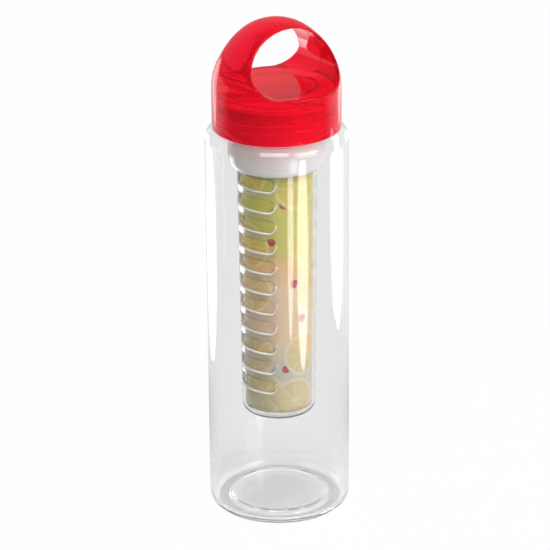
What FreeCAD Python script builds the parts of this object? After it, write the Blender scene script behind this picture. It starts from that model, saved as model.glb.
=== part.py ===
"""Fruit infuser water bottle: clear bottle, red screw lid with a finger arch, and a slotted infuser.

Millimetres, +Z up, origin at the centre of the foot ring. The lid's two arch legs stand on X,
and the finger tunnel runs along Y.
"""
import FreeCAD, Part

import math
import os

from FreeCAD import Vector

# Bottle body
body_radius = 36.5
body_wall = 2.0
base_corner_radius = 4.5
foot_width = 5.0
punt_step_width = 3.2
punt_step_height = 1.4
punt_crown = 2.6
floor_thickness = 2.8
shoulder_height = 207.0
shoulder_corner_radius = 5.0
neck_collar_clearance = 2.35
neck_wall = 2.0
neck_height = 16.0
neck_root_fillet = 1.2
rim_edge_radius = 0.6

# Screw thread between neck and lid
neck_thread_lead = 8.0
neck_thread_starts = 2
neck_thread_depth = 1.3
neck_thread_root_width = 2.2
neck_thread_crest_width = 1.2
neck_thread_clearance = 0.4
neck_thread_rise = 8.0
thread_sink = 0.4

# Screw lid
lid_wall = 2.5
lid_shoulder_gap = 0.6
lid_plate_thickness = 4.8
gasket_thickness = 2.0
gasket_width = 4.3
dome_spring_drop = 2.8
dome_arc_radius = 38.5
dome_crown_start = 16.0
arch_leg_thickness = 7.95
arch_top_thickness = 3.55
tunnel_corner_radius = 9.8
tunnel_slope_degrees = 3.2
tunnel_edge_radius = 1.2
lid_foot_edge_radius = 0.5

# Boss under the lid that the infuser's collar screws on to
boss_wall = 2.0
boss_height = 9.0
collar_thread_lead = 6.0
collar_thread_starts = 2
collar_thread_depth = 1.0
collar_thread_root_width = 1.5
collar_thread_crest_width = 0.7
collar_thread_clearance = 0.4
collar_thread_rise = 4.5

# Infuser tube
tube_top_radius = 20.7
tube_taper = 1.7
tube_wall = 1.6
tube_floor_thickness = 1.8
tube_corner_radius = 4.0
tube_length = 163.8
tube_flange_width = 0.9
tube_flange_thickness = 2.0
slot_pitch = 11.12
slot_height = 6.5
slot_span_degrees = 90.0
slot_azimuth_degrees = 7.0
slot_bottom_gap = 15.7
slot_collar_gap = 0.7

# White collar
collar_wall = 1.35
collar_clearance = 0.3
collar_height = 36.7
collar_taper_height = 3.0
collar_lip_wall = 2.3

# Rolled card in the tube
card_seam_gap = 12.92
card_rim_gap = 9.8
card_thickness = 0.3
card_clearance = 0.25
card_seam_azimuth_degrees = 56.0

# Sizes that follow from the ones above, from the infuser outwards and from the foot up
tube_bottom_radius = tube_top_radius - tube_taper
tube_flange_radius = tube_top_radius + tube_flange_width
collar_lower_bore_radius = tube_top_radius + collar_clearance
collar_thread_crest_radius = tube_flange_radius + collar_clearance
collar_bore_radius = collar_thread_crest_radius + collar_thread_depth
collar_radius = collar_bore_radius + collar_wall
boss_radius = collar_thread_crest_radius - collar_thread_clearance
neck_bore_radius = collar_radius + neck_collar_clearance
neck_radius = neck_bore_radius + neck_wall
neck_crest_radius = neck_radius + neck_thread_depth
gasket_outer_radius = neck_crest_radius
lid_inner_radius = neck_crest_radius + neck_thread_clearance
lid_radius = lid_inner_radius + lid_wall
tunnel_half_width = lid_radius - arch_leg_thickness
foot_outer_radius = body_radius - base_corner_radius
foot_inner_radius = foot_outer_radius - foot_width
rim_height = shoulder_height + neck_height
lid_foot_height = shoulder_height + lid_shoulder_gap
ceiling_height = rim_height + gasket_thickness
plate_height = ceiling_height + lid_plate_thickness
dome_spring_height = plate_height - dome_spring_drop
boss_foot_height = ceiling_height - boss_height
flange_seat_height = boss_foot_height - tube_flange_thickness
collar_bottom_height = ceiling_height - collar_height
tube_bottom_height = boss_foot_height - tube_length
tube_floor_height = tube_bottom_height + tube_floor_thickness
slot_lowest_height = tube_bottom_height + slot_bottom_gap
slot_highest_height = collar_bottom_height - slot_collar_gap - slot_height
slot_count = int((slot_highest_height - slot_lowest_height) / slot_pitch) + 1

full_turn = 360.0
same_place = 1e-4
z_axis = Vector(0, 0, 1)
origin = Vector(0, 0, 0)


def at(radius, height):
    """Point of a turned profile, in the XZ plane."""
    return Vector(radius, 0, height)


def line(start, end):
    return Part.makeLine(start, end)


def arc(start, middle, end):
    return Part.Arc(start, middle, end).toShape()


def corner(centre, radius, start_degrees, end_degrees):
    """Arc of a turned profile about a centre in the XZ plane, with angles counted from +X towards +Z."""
    points = []
    for degrees in (start_degrees, (start_degrees + end_degrees) / 2, end_degrees):
        turn = math.radians(degrees)
        points.append(centre + Vector(radius * math.cos(turn), 0, radius * math.sin(turn)))
    return arc(*points)


def chain(*steps):
    """Edges through the steps in order: a point is joined by a line, an edge is taken as it is."""
    edges = []
    last = None
    for step in steps:
        is_point = isinstance(step, Vector)
        first = step if is_point else step.valueAt(step.FirstParameter)
        if last is not None and last.distanceToPoint(first) > same_place:
            edges.append(line(last, first))
        if not is_point:
            edges.append(step)
            last = step.valueAt(step.LastParameter)
        else:
            last = step
    return edges


def closed_face(*steps):
    first = steps[0] if isinstance(steps[0], Vector) else steps[0].valueAt(steps[0].FirstParameter)
    return Part.Face(Part.Wire(Part.__sortEdges__(chain(*steps, first))))


def turned(*steps, degrees=full_turn):
    """Solid of revolution about Z from a closed profile."""
    return closed_face(*steps).revolve(origin, z_axis, degrees)


def cylinder(radius, low, high):
    return Part.makeCylinder(radius, high - low, Vector(0, 0, low))


def ring(inner, outer, low, high):
    return cylinder(outer, low, high).cut(cylinder(inner, low, high))


def thread(wall_radius, depth, root_width, crest_width, lead, starts, low, rise, phase):
    """Helical ridges on a wall. A positive depth stands out of a shaft, a negative one into a bore.

    The ridge's middle starts at height low. Its flanks run on into the wall, so that it is one with it.
    """
    sunk = -math.copysign(thread_sink, depth)
    flank = (root_width - crest_width) / 2 / abs(depth)
    sunk_half = root_width / 2 + flank * thread_sink
    crest_half = crest_width / 2
    ridges = []
    for start in range(starts):
        helix = Part.makeHelix(lead, rise, wall_radius)
        section = Part.makePolygon([
            at(wall_radius + sunk, -sunk_half),
            at(wall_radius + depth, -crest_half),
            at(wall_radius + depth, crest_half),
            at(wall_radius + sunk, sunk_half),
            at(wall_radius + sunk, -sunk_half),
        ])
        ridge = Part.Wire(helix.Edges).makePipeShell([section], True, True)
        ridge.translate(Vector(0, 0, low))
        ridge.rotate(origin, z_axis, phase + full_turn * start / starts)
        ridges.append(ridge)
    return ridges


def half_pitch_phase(starts):
    """Turn that puts a mating thread's ridges midway between the ridges of the first."""
    return full_turn / starts / 2


def make_bottle_body():
    wall_inner = body_radius - body_wall
    inner_corner = base_corner_radius - body_wall
    inner_shoulder = shoulder_corner_radius - body_wall
    crown_under = punt_step_height + punt_crown
    step_radius = foot_inner_radius - punt_step_width
    dish_radius = (step_radius ** 2 + punt_crown ** 2) / (2 * punt_crown)
    dish_turn = 90 - math.degrees(math.asin(step_radius / dish_radius))
    dish_centre = at(0, crown_under - dish_radius)
    floor_centre = at(0, crown_under + floor_thickness - dish_radius)
    outside_corner = at(foot_outer_radius, base_corner_radius)
    shoulder_centre = at(body_radius - shoulder_corner_radius, shoulder_height - shoulder_corner_radius)
    root_centre = at(neck_radius + neck_root_fillet, shoulder_height + neck_root_fillet)
    rim_outer = at(neck_radius - rim_edge_radius, rim_height - rim_edge_radius)
    rim_inner = at(neck_bore_radius + rim_edge_radius, rim_height - rim_edge_radius)
    inside_corner = at(wall_inner - inner_corner, floor_thickness + inner_corner)
    body = turned(
        corner(dish_centre, dish_radius, 90, dish_turn),
        at(foot_inner_radius, 0),
        at(foot_outer_radius, 0),
        corner(outside_corner, base_corner_radius, -90, 0),
        corner(shoulder_centre, shoulder_corner_radius, 0, 90),
        corner(root_centre, neck_root_fillet, 270, 180),
        corner(rim_outer, rim_edge_radius, 0, 90),
        corner(rim_inner, rim_edge_radius, 90, 180),
        at(neck_bore_radius, shoulder_height - body_wall),
        corner(shoulder_centre, inner_shoulder, 90, 0),
        corner(inside_corner, inner_corner, 0, -90),
        at(foot_inner_radius, floor_thickness),
        corner(floor_centre, dish_radius, dish_turn, 90),
    )
    ridges = thread(
        neck_radius, neck_thread_depth, neck_thread_root_width, neck_thread_crest_width,
        neck_thread_lead, neck_thread_starts, neck_thread_low(), neck_thread_rise, 0,
    )
    return body.fuse(ridges)


def neck_thread_low():
    """Height where the neck's ridges start, with the thread centred on the neck's straight wall."""
    return shoulder_height + (neck_height + neck_root_fillet - rim_edge_radius - neck_thread_rise) / 2


def dome_profile():
    """Outer edges of the lid above its band: one long arc to the crown, then a flatter crown arc."""
    centre = at(lid_radius - dome_arc_radius, dome_spring_height)
    crown_turn = math.degrees(math.acos((dome_crown_start - centre.x) / dome_arc_radius))
    side = corner(centre, dome_arc_radius, 0, crown_turn)
    crown_radius = dome_crown_start / math.cos(math.radians(crown_turn))
    crown_end = side.valueAt(side.LastParameter)
    crown_centre = at(0, crown_end.z - crown_radius * math.sin(math.radians(crown_turn)))
    return side, corner(crown_centre, crown_radius, crown_turn, 90)


def tunnel_section():
    """Finger tunnel seen along Y: flat floor, rounded lower corners, and a top arc that runs on from them."""
    floor = plate_height
    corner_radius = tunnel_corner_radius
    corner_x = tunnel_half_width - corner_radius
    corner_z = floor + corner_radius
    side, crown = dome_profile()
    height = crown.valueAt(crown.LastParameter).z - arch_top_thickness - floor
    top_radius = (height + corner_x ** 2 / (height - 2 * corner_radius)) / 2
    top_z = floor + height - top_radius
    join_turn = math.degrees(math.atan2(corner_z - top_z, corner_x))
    return closed_face(
        corner(at(corner_x, corner_z), corner_radius, -90, join_turn),
        corner(at(0, top_z), top_radius, join_turn, 180 - join_turn),
        corner(at(-corner_x, corner_z), corner_radius, 180 - join_turn, 270),
    )


def make_tunnel():
    """Cutter for the finger tunnel, which falls a little towards the back so that its floor drains."""
    length = 4 * lid_radius
    tunnel = tunnel_section().extrude(Vector(0, length, 0))
    tunnel.translate(Vector(0, -length / 2, 0))
    tunnel.rotate(at(0, plate_height), Vector(1, 0, 0), -tunnel_slope_degrees)
    return tunnel


def mouth_edges(lid, outside, tunnel):
    """Edges where the tunnel breaks out of the dome: their middles lie on both surfaces."""
    edges = []
    for edge in lid.Edges:
        middle = Part.Vertex(edge.valueAt((edge.FirstParameter + edge.LastParameter) / 2))
        off_dome = middle.distToShape(outside.Shells[0])[0]
        off_tunnel = middle.distToShape(tunnel.Shells[0])[0]
        if max(off_dome, off_tunnel) < same_place:
            edges.append(edge)
    return edges


def make_screw_lid():
    side, crown = dome_profile()
    foot = lid_foot_edge_radius
    outside = turned(
        at(0, lid_foot_height),
        corner(at(lid_radius - foot, lid_foot_height + foot), foot, -90, 0),
        side,
        crown,
    )
    tunnel = make_tunnel()
    lid = outside.cut(tunnel)
    lid = lid.makeFillet(tunnel_edge_radius, mouth_edges(lid, outside, tunnel))
    lid = lid.cut(cylinder(lid_inner_radius, lid_foot_height, ceiling_height))
    boss = ring(boss_radius - boss_wall, boss_radius, boss_foot_height, ceiling_height)
    lid_ridges = thread(
        lid_inner_radius, -neck_thread_depth, neck_thread_root_width, neck_thread_crest_width,
        neck_thread_lead, neck_thread_starts, neck_thread_low(), neck_thread_rise,
        half_pitch_phase(neck_thread_starts),
    )
    boss_ridges = thread(
        boss_radius, collar_thread_depth, collar_thread_root_width, collar_thread_crest_width,
        collar_thread_lead, collar_thread_starts, collar_thread_low(), collar_thread_rise, 0,
    )
    return lid.fuse([boss] + lid_ridges + boss_ridges)


def collar_thread_low():
    """Height where the boss's ridges start, with the thread centred on the boss."""
    return ceiling_height - (boss_height + collar_thread_rise) / 2


def make_lid_gasket():
    return ring(gasket_outer_radius - gasket_width, gasket_outer_radius, rim_height, ceiling_height)


def make_infuser_collar():
    taper_top = collar_bottom_height + collar_taper_height
    lip_radius = collar_lower_bore_radius + collar_lip_wall
    taper_bulge = (collar_radius - lip_radius) / 4
    taper_middle = at(collar_radius - taper_bulge, collar_bottom_height + collar_taper_height / 2)
    body = turned(
        at(collar_lower_bore_radius, collar_bottom_height),
        arc(at(lip_radius, collar_bottom_height), taper_middle, at(collar_radius, taper_top)),
        at(collar_radius, ceiling_height),
        at(collar_bore_radius, ceiling_height),
        at(collar_bore_radius, flange_seat_height),
        at(collar_lower_bore_radius, flange_seat_height),
    )
    ridges = thread(
        collar_bore_radius, -collar_thread_depth, collar_thread_root_width, collar_thread_crest_width,
        collar_thread_lead, collar_thread_starts, collar_thread_low(), collar_thread_rise,
        half_pitch_phase(collar_thread_starts),
    )
    return body.fuse(ridges)


def tube_outer_radius(height):
    """Outside of the tube, which tapers from under its flange to its rounded bottom corner."""
    share = (height - tube_bottom_height) / (flange_seat_height - tube_bottom_height)
    return tube_bottom_radius + share * (tube_top_radius - tube_bottom_radius)


def make_slot(height, azimuth):
    """Cutter for one cross slot with round ends, as long as the span at the tube's wall."""
    radius = tube_top_radius + tube_flange_width
    end_radius = slot_height / 2
    end_degrees = math.degrees(end_radius / tube_outer_radius(height))
    half_span = slot_span_degrees / 2 - end_degrees
    sector = turned(
        at(0, height), at(radius, height), at(radius, height + slot_height), at(0, height + slot_height),
        degrees=2 * half_span,
    )
    sector.rotate(origin, z_axis, azimuth - half_span)
    ends = []
    for side in (-half_span, half_span):
        turn = math.radians(azimuth + side)
        direction = Vector(math.cos(turn), math.sin(turn), 0)
        ends.append(Part.makeCylinder(end_radius, radius, Vector(0, 0, height + end_radius), direction))
    return sector.fuse(ends)


def make_infuser_tube():
    outer_corner = at(tube_bottom_radius - tube_corner_radius, tube_bottom_height + tube_corner_radius)
    inner_corner = tube_corner_radius - tube_wall
    inner_centre = at(outer_corner.x, tube_floor_height + inner_corner)
    top = boss_foot_height
    tube = turned(
        at(0, tube_bottom_height),
        corner(outer_corner, tube_corner_radius, -90, 0),
        at(tube_top_radius, flange_seat_height),
        at(tube_flange_radius, flange_seat_height),
        at(tube_flange_radius, top),
        at(tube_top_radius - tube_wall, top),
        corner(inner_centre, inner_corner, 0, -90),
        at(0, tube_floor_height),
    )
    slots = []
    for index in range(slot_count):
        height = slot_lowest_height + index * slot_pitch
        for azimuth in (slot_azimuth_degrees, slot_azimuth_degrees + full_turn / 2):
            slots.append(make_slot(height, azimuth))
    return tube.cut(slots)


def make_insert_roll():
    """Card rolled into an open cone that springs out to the tube's wall and stands on its floor corner."""
    inset = tube_wall + card_clearance
    low = tube_floor_height + tube_corner_radius - tube_wall
    high = boss_foot_height - card_rim_gap
    low_radius = tube_outer_radius(low) - inset
    high_radius = tube_outer_radius(high) - inset
    covered = full_turn - math.degrees(card_seam_gap / high_radius)
    card = turned(
        at(low_radius - card_thickness, low),
        at(low_radius, low),
        at(high_radius, high),
        at(high_radius - card_thickness, high),
        degrees=covered,
    )
    card.rotate(origin, z_axis, card_seam_azimuth_degrees + (full_turn - covered) / 2)
    return card


nodes = {
    "bottle_body": make_bottle_body,
    "screw_lid": make_screw_lid,
    "lid_gasket": make_lid_gasket,
    "infuser_collar": make_infuser_collar,
    "infuser_tube": make_infuser_tube,
    "insert_roll": make_insert_roll,
}

os.makedirs("parts", exist_ok=True)
for name, make in nodes.items():
    shape = make()
    print(name, shape.isValid(), len(shape.Solids), round(shape.Volume, 1), shape.BoundBox)
    shape.exportStep(os.path.join("parts", name + ".step"))
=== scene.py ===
"""Dresses the fruit infuser bottle: bottle, lid with a finger arch, seal, collar, slotted tube and card."""

import math

import bmesh
import bpy
import numpy as np
from mathutils import Matrix, Vector


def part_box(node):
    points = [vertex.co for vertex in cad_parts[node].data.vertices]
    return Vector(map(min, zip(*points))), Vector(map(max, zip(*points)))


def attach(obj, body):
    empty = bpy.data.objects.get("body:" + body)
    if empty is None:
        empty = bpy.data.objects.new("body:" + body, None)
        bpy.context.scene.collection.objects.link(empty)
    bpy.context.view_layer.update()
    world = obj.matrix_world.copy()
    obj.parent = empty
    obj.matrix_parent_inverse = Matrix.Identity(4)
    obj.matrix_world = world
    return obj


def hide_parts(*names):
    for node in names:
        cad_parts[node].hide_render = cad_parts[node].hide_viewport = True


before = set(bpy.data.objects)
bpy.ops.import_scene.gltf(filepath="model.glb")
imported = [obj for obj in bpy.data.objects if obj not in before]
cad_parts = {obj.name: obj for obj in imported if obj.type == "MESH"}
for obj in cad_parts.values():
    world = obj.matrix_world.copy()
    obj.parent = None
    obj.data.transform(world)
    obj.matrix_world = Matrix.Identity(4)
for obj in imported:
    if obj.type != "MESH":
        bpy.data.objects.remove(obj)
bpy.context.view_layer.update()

bl_info = {
    "name": "Fruit infuser bottle",
    "version": (1, 0, 0),
    "blender": (4, 5, 0),
    "location": "View3D > Sidebar > Bottle",
    "description": "Builds the bottle's visible pieces around its packed frame",
    "category": "Object",
}

MM = 0.001
TURN = 2 * math.pi
WHITE = (1.0, 1.0, 1.0)

# Fineness of the meshes
BODY_SEGMENTS = 192
BODY_TURNS = [TURN * step / BODY_SEGMENTS for step in range(BODY_SEGMENTS)]
ARC_STEP_DEGREES = 9.0
SUPPORT = 0.5 * MM
THREAD_GRAIN = 0.25 * MM
WELD_DISTANCE = 2e-6

# Fits that several pieces share
SEAT_GAP = 0.04 * MM
FLANGE_SEAT = 214 * MM

# Screw threads of the neck and of the lid's boss. A mating ridge runs half a pitch beside them
NECK_THREAD_DEPTH = 1.3 * MM
NECK_SCREW = {
    "lead": 8 * MM, "starts": 2, "low": 211.3 * MM, "rise": 8 * MM,
    "root": 2.2 * MM, "crest": 1.2 * MM, "run_out": 0.08,
}
BOSS_THREAD_DEPTH = 1.0 * MM
BOSS_SCREW = {
    "lead": 6 * MM, "starts": 2, "low": 218.25 * MM, "rise": 4.5 * MM,
    "root": 1.5 * MM, "crest": 0.7 * MM, "run_out": 0.08,
}
HALF_PITCH = TURN / 4

bottle_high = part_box("bottle_body")[1]
lid_low, lid_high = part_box("screw_lid")
gasket_low, gasket_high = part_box("lid_gasket")
collar_low, collar_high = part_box("infuser_collar")
tube_low, tube_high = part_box("infuser_tube")
card_low, card_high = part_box("insert_roll")


def length(label, words, metres):
    """A length that a user may change, in metres."""
    return bpy.props.FloatProperty(name=label, description=words, default=metres, unit="LENGTH", precision=5)


def number(label, words, value):
    return bpy.props.FloatProperty(name=label, description=words, default=value)


def count(label, words, value):
    return bpy.props.IntProperty(name=label, description=words, default=value, min=1)


def angle(label, words, degrees):
    turn = math.radians(degrees)
    return bpy.props.FloatProperty(name=label, description=words, default=turn, subtype="ANGLE")


def colour(label, words, value):
    return bpy.props.FloatVectorProperty(
        name=label, description=words, default=value, size=3, subtype="COLOR", min=0.0, max=1.0
    )


class BottleSettings(bpy.types.PropertyGroup):
    body_radius: length("Body radius", "Outside of the bottle", min(bottle_high[:2]))
    wall: length("Wall", "Wall of the body", 2.0 * MM)
    shoulder: length("Shoulder height", "Top of the body, where the neck starts", 207 * MM)
    rim: length("Rim height", "Top of the neck", bottle_high[2])
    bore: length("Neck bore", "Inside radius of the neck", 26.6 * MM)
    neck_radius: length("Neck radius", "Outside radius of the neck", 28.6 * MM)
    thread_depth: length("Thread depth", "How far the screw ridges stand out", NECK_THREAD_DEPTH)
    plastic: colour("Plastic", "Tint of the clear plastic", (0.952, 0.953, 0.955))


class LidSettings(bpy.types.PropertyGroup):
    radius: length("Band radius", "Outside of the lid", lid_high[0])
    bore: length("Band bore", "Inside radius of the band", 30.3 * MM)
    foot: length("Foot height", "Lower edge of the band", lid_low[2])
    ceiling: length("Ceiling height", "Under side of the plate", gasket_high[2])
    plate: length("Plate height", "Floor of the finger tunnel on the axis", 229.8 * MM)
    spring: length("Spring height", "Where the band ends and the dome starts", 227.0 * MM)
    dome_arc: length("Dome arc", "Radius of the dome's long arc", 38.5 * MM)
    crown_start: length("Crown start", "Distance from the axis where the crown's arc starts", 16 * MM)
    leg: length("Arch leg", "Thickness of the arch's legs", 7.95 * MM)
    arch_top: length("Arch top", "Thickness of the arch at its top", 3.55 * MM)
    tunnel_corner: length("Tunnel corner", "Rounding of the tunnel's lower corners", 9.8 * MM)
    slope: angle("Tunnel slope", "Fall of the finger tunnel towards the back", 3.2)
    mouth_radius: length("Mouth edge", "Rounding of the tunnel's mouths", 1.2 * MM)
    grain: length("Mesh grain", "Cell of the lid's mesh", 0.62 * MM)
    plastic: colour("Plastic", "Tint of the red see-through plastic", (0.98, 0.016, 0.05))


class InfuserSettings(bpy.types.PropertyGroup):
    tube_top_radius: length("Tube top radius", "Outside of the tube under its flange", 20.7 * MM)
    tube_foot_radius: length("Tube foot radius", "Outside of the tube at its foot", 19.0 * MM)
    tube_wall: length("Tube wall", "Wall of the tube", 1.6 * MM)
    tube_floor: length("Tube floor", "Thickness of the tube's floor", 1.8 * MM)
    slot_rows: count("Slot rows", "Slots in one column", 11)
    slot_columns: count("Slot columns", "Columns of slots round the tube", 2)
    slot_pitch: length("Slot pitch", "Distance between slots", 11.12 * MM)
    slot_height: length("Slot height", "Height of one slot", 6.5 * MM)
    slot_low: length("Lowest slot", "Lower edge of the lowest slot", 67.9 * MM)
    slot_span: angle("Slot span", "Angle that a slot covers", 90.0)
    slot_azimuth: angle("Slot azimuth", "Middle of the first column of slots", 7.0)
    plastic: colour("Tube plastic", "Tint of the clear tube", (0.975, 0.977, 0.977))
    # The sill colour is near white as a painted highlight, standing in for the light that the slots' clear
    # lower edges catch
    sill: colour("Slot sill", "Colour of the slots' frosted lower edges", (0.97, 0.97, 0.95))
    # The lintel colour is grey as painted shade: the slots' upper edges face down and get less light
    lintel: colour("Slot lintel", "Tint of the slots' thick upper edges", (0.62, 0.62, 0.58))
    collar: colour("Collar", "Colour of the white collar", (0.65, 0.65, 0.645))
    seal: colour("Seal", "Colour of the silicone seal", (0.82, 0.82, 0.80))


class CardSettings(bpy.types.PropertyGroup):
    seam: angle("Seam azimuth", "Middle of the gap between the card's edges", 56.0)
    seam_gap: length("Seam gap", "Gap between the card's edges at its top", 12.92 * MM)
    inset: length("Inset", "Tube wall and clearance outside the card", 1.85 * MM)
    thickness: length("Thickness", "Thickness of the card", 0.3 * MM)
    paper: colour("Paper", "Colour of the unprinted side", (0.80, 0.79, 0.75))
    lemon: colour("Lemon", "Colour of the print's largest field", (0.54, 0.50, 0.07))
    peach: colour("Peach", "Colour of the print's warm field", (0.70, 0.51, 0.32))
    sage: colour("Sage", "Colour of the print's cool field", (0.50, 0.48, 0.39))
    orange: colour("Orange", "Colour of the print's accents", (0.72, 0.42, 0.18))
    leaf: colour("Leaf", "Colour of the print's lowest field", (0.58, 0.60, 0.36))
    juice: colour("Juice", "Colour of the slices' flesh", (0.68, 0.44, 0.03))
    pith: colour("Pith", "Colour of the slices' pale rings", (0.80, 0.74, 0.42))
    berry: colour("Berry", "Colour of the small berries", (0.42, 0.03, 0.035))


class StageSettings(bpy.types.PropertyGroup):
    floor_size: length("Floor size", "Side of the floor", 12.0)
    fill: number("Fill", "Level of the studio's even light", 0.67)
    gloss: number("Gloss", "Level of the dark front of the studio that gloss mirrors", 0.12)
    strip: number("Strips", "Brightness of the strips that gloss mirrors", 3.0)
    box: number("Soft box", "Power of the large soft light in watts", 9.5)


class Wire:
    """A node's output that plain expressions can use."""

    def __init__(self, tree, socket):
        self.tree = tree
        self.socket = socket

    def math(self, operation, first, second):
        return self.tree.node("ShaderNodeMath", {"operation": operation}, {0: first, 1: second})

    def __add__(self, other):
        return self.math("ADD", self, other)

    def __sub__(self, other):
        return self.math("SUBTRACT", self, other)

    def __rsub__(self, other):
        return self.math("SUBTRACT", other, self)

    def __mul__(self, other):
        return self.math("MULTIPLY", self, other)

    def __truediv__(self, other):
        return self.math("DIVIDE", self, other)

    def __rtruediv__(self, other):
        return self.math("DIVIDE", other, self)

    def most(self, other):
        return self.math("MAXIMUM", self, other)

    def under(self, other):
        return self.math("LESS_THAN", self, other)

    __radd__ = __add__
    __rmul__ = __mul__


class Tree:
    """Adds nodes to a node tree: one method makes any node, and the others are short forms of it."""

    def __init__(self, tree):
        self.tree = tree
        tree.nodes.clear()

    def node(self, kind, settings=None, inputs=None, output=0):
        node = self.tree.nodes.new(kind)
        for name, value in (settings or {}).items():
            if name == "stops":
                self.set_stops(node.color_ramp, value)
            else:
                setattr(node, name, value)
        for name, value in (inputs or {}).items():
            if isinstance(value, Wire):
                self.tree.links.new(value.socket, node.inputs[name])
            else:
                node.inputs[name].default_value = value
        return Wire(self, node.outputs[output]) if node.outputs else node

    def other(self, wire, output):
        """Another output of the node that a wire comes from."""
        return Wire(self, wire.socket.node.outputs[output])

    @staticmethod
    def set_stops(ramp, stops):
        while len(ramp.elements) < len(stops):
            ramp.elements.new(1.0)
        for element, (place, shade) in zip(ramp.elements, stops):
            element.position = place
            element.color = rgba(shade)

    def place(self, kind):
        """Texture coordinates of one kind."""
        return self.node("ShaderNodeTexCoord", output=kind)

    def reach(self, place, way):
        """How far a place lies in a direction."""
        inputs = {0: place, 1: way}
        return self.node("ShaderNodeVectorMath", {"operation": "DOT_PRODUCT"}, inputs, output="Value")

    def mix(self, share, first, second):
        inputs = {"Factor": share, 6: first, 7: second}
        return self.node("ShaderNodeMix", {"data_type": "RGBA"}, inputs, output=2)

    def dimmed(self, share, shade, level):
        """A colour that falls to a level of its own brightness where a mask is one."""
        return self.mix(share, rgba(shade), rgba([value * level for value in shade]))

    def smooth(self, value, low, high):
        settings = {"interpolation_type": "SMOOTHSTEP"}
        return self.node("ShaderNodeMapRange", settings, {"Value": value, "From Min": low, "From Max": high})

    def noise(self, place, scale, detail=2.0):
        return self.node("ShaderNodeTexNoise", None, {"Vector": place, "Scale": scale, "Detail": detail})

    def bump(self, height, strength, depth):
        inputs = {"Strength": strength, "Distance": depth, "Height": height}
        return self.node("ShaderNodeBump", None, inputs)


def rgba(shade):
    return (*shade, 1.0)


def grey(level):
    return rgba((level, level, level))


def new_material(name):
    material = bpy.data.materials.new(name)
    material.use_nodes = True
    return material, Tree(material.node_tree)


def finish_surface(tree, inputs):
    surface = tree.node("ShaderNodeBsdfPrincipled", None, inputs)
    tree.node("ShaderNodeOutputMaterial", None, {"Surface": surface})


# See-through plastics: gloss as strength and tint, and the colour of lamplight that has passed through
CLEAR_GLOSS = (0.5, WHITE)
LID_GLOSS = (0.28, (1.0, 0.3, 0.4))
BOTTLE_PASSED = (0.96, 0.96, 0.96)
TUBE_PASSED = (0.97, 0.97, 0.97)
LINTEL_PASSED = (0.9, 0.9, 0.9)
LID_PASSED = (1.0, 0.55, 0.55)
LID_TRANSMISSION = 0.76
LID_ROUGHNESS = 0.02
PLASTIC_IOR = 1.5


def moulded_plastic(name, tint, passed, gloss=CLEAR_GLOSS, transmission=1.0, roughness=0.005):
    """See-through plastic with faint flow marks, haze and a slightly uneven skin. It lets lamps through."""
    material, tree = new_material(name)
    place = tree.place("Object")
    drawn_out = tree.node("ShaderNodeMapping", None, {"Vector": place, "Scale": (1.0, 1.0, 0.25)})
    flow = tree.noise(drawn_out, 60.0)
    haze = tree.noise(place, 900.0, 4.0)
    marks = tree.smooth(flow, 0.35, 0.75)
    strength, gloss_tint = gloss
    surface = tree.node("ShaderNodeBsdfPrincipled", None, {
        "Base Color": tree.dimmed(marks * 0.5, tint, 0.985),
        "Roughness": roughness + marks * 0.01 + haze * 0.015,
        "Normal": tree.bump(flow, 0.03, 0.2 * MM),
        "IOR": PLASTIC_IOR,
        "Specular IOR Level": strength,
        "Specular Tint": rgba(gloss_tint),
        "Transmission Weight": transmission,
    })
    clear = tree.node("ShaderNodeBsdfTransparent", None, {"Color": rgba(passed)})
    lamp_ray = tree.node("ShaderNodeLightPath", output="Is Shadow Ray")
    both = tree.node("ShaderNodeMixShader", None, {"Fac": lamp_ray, 1: surface, 2: clear})
    tree.node("ShaderNodeOutputMaterial", None, {"Surface": both})
    return material


def sill_highlight_plastic(shade):
    """White, nearly see-through-free plastic with a rough, grainy skin for the slots' lower edges: a painted
    highlight where the clear edges catch the light.
    """
    material, tree = new_material("tube_sill_painted_highlight")
    highlight_grain = tree.noise(tree.place("Object"), 2500.0)
    finish_surface(tree, {
        "Base Color": tree.dimmed(highlight_grain, shade, 0.95),
        "Roughness": 0.3 + highlight_grain * 0.15,
        "Transmission Weight": 0.1,
    })
    return material


def collar_plastic(shade):
    """Glossy white moulded plastic with faint sink marks."""
    material, tree = new_material("collar_white")
    place = tree.place("Object")
    sink = tree.noise(place, 80.0)
    speck = tree.noise(place, 1500.0)
    finish_surface(tree, {
        "Base Color": tree.dimmed(sink * 0.4, shade, 0.95),
        "Roughness": 0.16 + speck * 0.08,
        "Normal": tree.bump(sink, 0.05, 0.2 * MM),
        "Coat Weight": 0.3,
        "Coat Roughness": 0.05,
    })
    return material


def seal_silicone(shade):
    """Soft matt silicone with a dusty bloom."""
    material, tree = new_material("gasket_silicone")
    bloom = tree.noise(tree.place("Object"), 400.0, 4.0)
    finish_surface(tree, {
        "Base Color": tree.dimmed(bloom, shade, 0.9),
        "Roughness": 0.5 + bloom * 0.2,
        "Normal": tree.bump(bloom, 0.1, 0.1 * MM),
    })
    return material


def paper_back(shade):
    """The card's unprinted side, with paper fibres."""
    material, tree = new_material("card_back")
    fibre = tree.noise(tree.place("UV"), 300.0, 5.0)
    finish_surface(tree, {
        "Base Color": tree.dimmed(fibre, shade, 0.93),
        "Roughness": 0.6 + fibre * 0.2,
        "Normal": tree.bump(fibre, 0.1, 0.05 * MM),
    })
    return material


# The card's print: slant and wander of its fields, and pitch, scatter and edges of its slices and berries,
# with every edge a pair of distances from a middle, in pitches, between which a mask fades
FIELD_SLANT = 2.6
FIELD_WANDER = 0.16
FIELD_SHIFT = 0.16
SLICE_PITCH = 30 * MM
SLICE_SCATTER = 0.45
SLICE_SPOKES = 8
RIND_EDGE = (0.42, 0.40)
FLESH_EDGE = (0.37, 0.34)
SPOKE_EDGE = (0.02, 0.05)
BERRY_PITCH = 22 * MM
BERRY_EDGE = (0.11, 0.095)


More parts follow.
